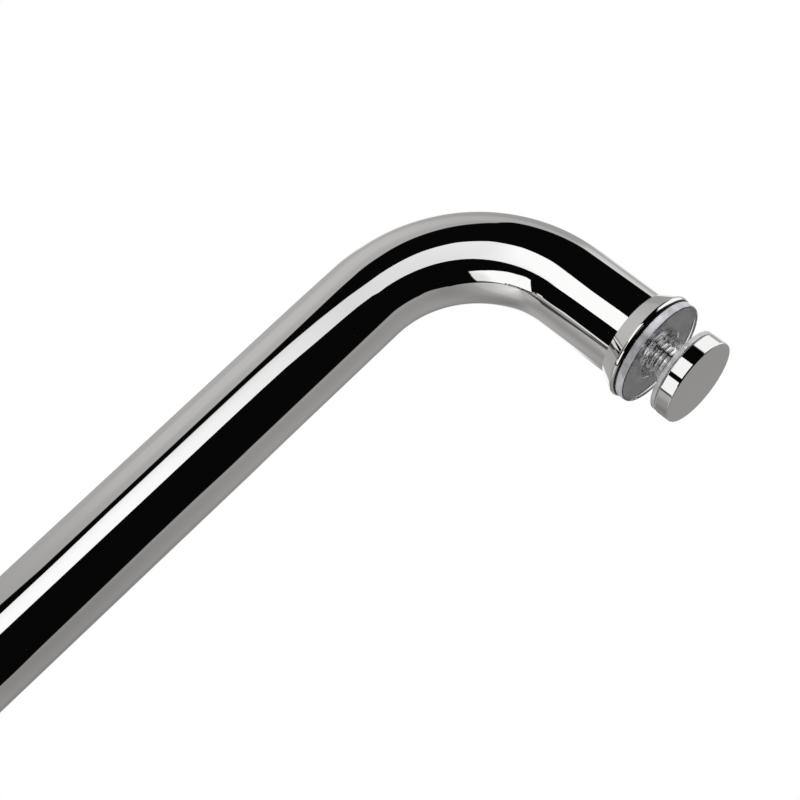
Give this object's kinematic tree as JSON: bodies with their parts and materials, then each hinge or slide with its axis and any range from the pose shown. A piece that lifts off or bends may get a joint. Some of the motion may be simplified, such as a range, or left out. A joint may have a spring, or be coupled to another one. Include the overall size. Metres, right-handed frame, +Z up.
{
  "type": "glass door pull handle",
  "caption": "Bent-tube pull handle clamped through a glass door by studs and disc caps, with flared collars and clear gaskets.",
  "frame": {"origin": "midway between the two holes' axes, on the face of the glass that the handle stands on", "axes": "+Z up along the bar, +Y through the glass from the bar's side to the caps' side, +X to the right when facing the bar"},
  "size_m": [0.0312, 0.0955, 0.3312],
  "materials": {
    "polished_tube": "polished",
    "polished_collar": "polished",
    "polished_cap": "polished",
    "plain_steel": "satin",
    "thread_steel": "satin",
    "clear_gasket": "gloss",
    "clear_sleeve": "gloss"
  },
  "bodies": {
    "root": {"bar": "polished_tube", "upper_end_plug": "plain_steel", "lower_end_plug": "plain_steel", "upper_collar": "polished_collar", "lower_collar": "polished_collar", "upper_gasket": "clear_gasket", "lower_gasket": "clear_gasket", "upper_stud": "thread_steel", "lower_stud": "thread_steel", "upper_sleeve": "clear_sleeve", "lower_sleeve": "clear_sleeve", "upper_cap_gasket": "clear_gasket", "lower_cap_gasket": "clear_gasket", "upper_cap": "polished_cap", "lower_cap": "polished_cap"}
  },
  "joints": []
}
